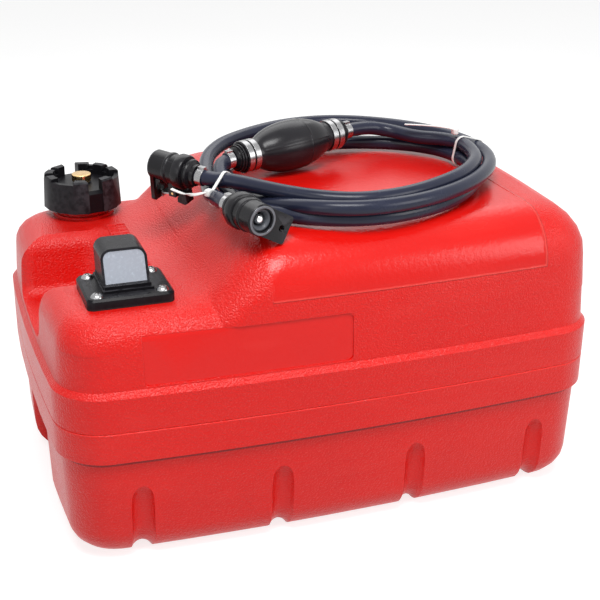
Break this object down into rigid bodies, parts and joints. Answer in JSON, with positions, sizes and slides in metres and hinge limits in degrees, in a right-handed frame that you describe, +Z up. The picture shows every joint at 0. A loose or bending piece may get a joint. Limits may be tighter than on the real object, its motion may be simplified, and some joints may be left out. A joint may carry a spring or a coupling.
{
  "type": "outboard fuel tank",
  "caption": "Portable outboard fuel tank with a vented filler cap, a float gauge and a coiled fuel hose with a primer bulb and quick connectors.",
  "frame": {"origin": "middle of the footprint, on the surface that the tank stands on", "axes": "+X along the tank, away from the cap and gauge end; +Y to the back, the side of the filler cap; +Z up"},
  "size_m": [0.468, 0.3218, 0.2993],
  "materials": {
    "tank_plastic": "moulded grain",
    "black_plastic": "satin",
    "clear_plastic": "clear",
    "nitrile": "matt",
    "hose_rubber": "satin",
    "brass": "turned",
    "zinc_steel": "bright",
    "chrome": "polished",
    "aluminium": "drawn",
    "white_nylon": "natural",
    "float_foam": "closed cell",
    "dial_plastic": "plain"
  },
  "bodies": {
    "tank": {"tank_body": "tank_plastic", "gauge_gasket": "nitrile", "gauge_flange": "black_plastic", "gauge_hood": "black_plastic", "gauge_lens": "clear_plastic", "gauge_screws": "zinc_steel", "gauge_inserts": "brass", "float_frame": "aluminium", "spindle_bushes": "brass", "pickup_tube": "aluminium", "pickup_strainer": "dial_plastic", "fuel_outlet": "brass", "primer_bulb": "hose_rubber", "bulb_inlet_valve": "black_plastic", "bulb_outlet_valve": "black_plastic", "inlet_check_disc": "nitrile", "outlet_check_disc": "nitrile", "bulb_bands": "zinc_steel", "hose_clamps": "zinc_steel", "hose_coil": "hose_rubber", "tank_end_hose": "hose_rubber", "engine_end_hose": "hose_rubber", "bulb_inlet_hose": "hose_rubber", "bulb_outlet_hose": "hose_rubber", "left_tie": "white_nylon", "right_tie": "white_nylon", "tank_connector": "black_plastic", "tank_connector_ring": "chrome", "tank_connector_seal": "nitrile", "tank_latch_pin": "brass", "engine_connector": "black_plastic", "engine_connector_ring": "chrome", "engine_connector_seal": "nitrile", "engine_latch_pin": "brass"},
    "gasket": {"cap_gasket": "nitrile"},
    "cap": {"filler_cap": "black_plastic", "vent_bush": "brass"},
    "vent_washer": {"vent_seal": "nitrile"},
    "vent": {"vent_screw": "brass"},
    "float": {"gauge_float": "float_foam"},
    "indicator": {"indicator_spindle": "zinc_steel", "indicator_drum": "dial_plastic"},
    "tank_latch": {"tank_latch": "black_plastic", "tank_latch_hook": "zinc_steel"},
    "engine_latch": {"engine_latch": "black_plastic", "engine_latch_hook": "zinc_steel"},
    "tank_valve": {"tank_valve": "zinc_steel"},
    "engine_valve": {"engine_valve": "zinc_steel"}
  },
  "joints": [
    {"name": "cap_lift", "type": "slide", "parent": "tank", "child": "gasket", "axis": [0, 0, 1], "range_m": [0, 0.06]},
    {"name": "cap_turn", "type": "hinge", "parent": "gasket", "child": "cap", "pos_m": [-0.1613, 0.114, 0.221], "axis": [0, 0, 1], "range_deg": [0, 540]},
    {"name": "vent_climb", "type": "slide", "parent": "cap", "child": "vent_washer", "axis": [0, 0, 1], "range_m": [0, 0.00226]},
    {"name": "vent_turn", "type": "hinge", "parent": "vent_washer", "child": "vent", "pos_m": [-0.1613, 0.114, 0.238], "axis": [0, 0, 1], "range_deg": [0, 540]},
    {"name": "float_travel", "type": "slide", "parent": "tank", "child": "float", "axis": [0, 0, 1], "range_m": [0, 0.15]},
    {"name": "indicator_turn", "type": "hinge", "parent": "tank", "child": "indicator", "pos_m": [-0.1644, -0.084, 0.216], "axis": [0, 0, 1], "range_deg": [-167.15, 0]},
    {"name": "tank_latch_press", "type": "hinge", "parent": "tank", "child": "tank_latch", "pos_m": [-0.10098, -0.00857, 0.2597], "axis": [-0.7537, -0.6303, -0.1861], "range_deg": [0, 8], "stiffness_Nm_per_rad": 0.05, "springref_deg": -8.59},
    {"name": "tank_valve_push", "type": "slide", "parent": "tank", "child": "tank_valve", "axis": [0.6513, -0.7543, -0.083], "range_m": [0, 0.003], "stiffness_N_per_m": 300, "springref_m": -0.002},
    {"name": "engine_latch_press", "type": "hinge", "parent": "tank", "child": "engine_latch", "pos_m": [-0.05776, -0.11353, 0.26295], "axis": [0.4655, 0.1431, 0.8734], "range_deg": [0, 8], "stiffness_Nm_per_rad": 0.05, "springref_deg": -8.59},
    {"name": "engine_valve_push", "type": "slide", "parent": "tank", "child": "engine_valve", "axis": [-0.2939, 0.9558, 0], "range_m": [0, 0.003], "stiffness_N_per_m": 300, "springref_m": -0.002}
  ],
  "couplings": [
    {"joint": "vent_climb", "follows": "vent_turn", "m_per_rad": 0.00023873},
    {"joint": "indicator_turn", "follows": "float_travel", "rad_per_m": -19.391}
  ]
}
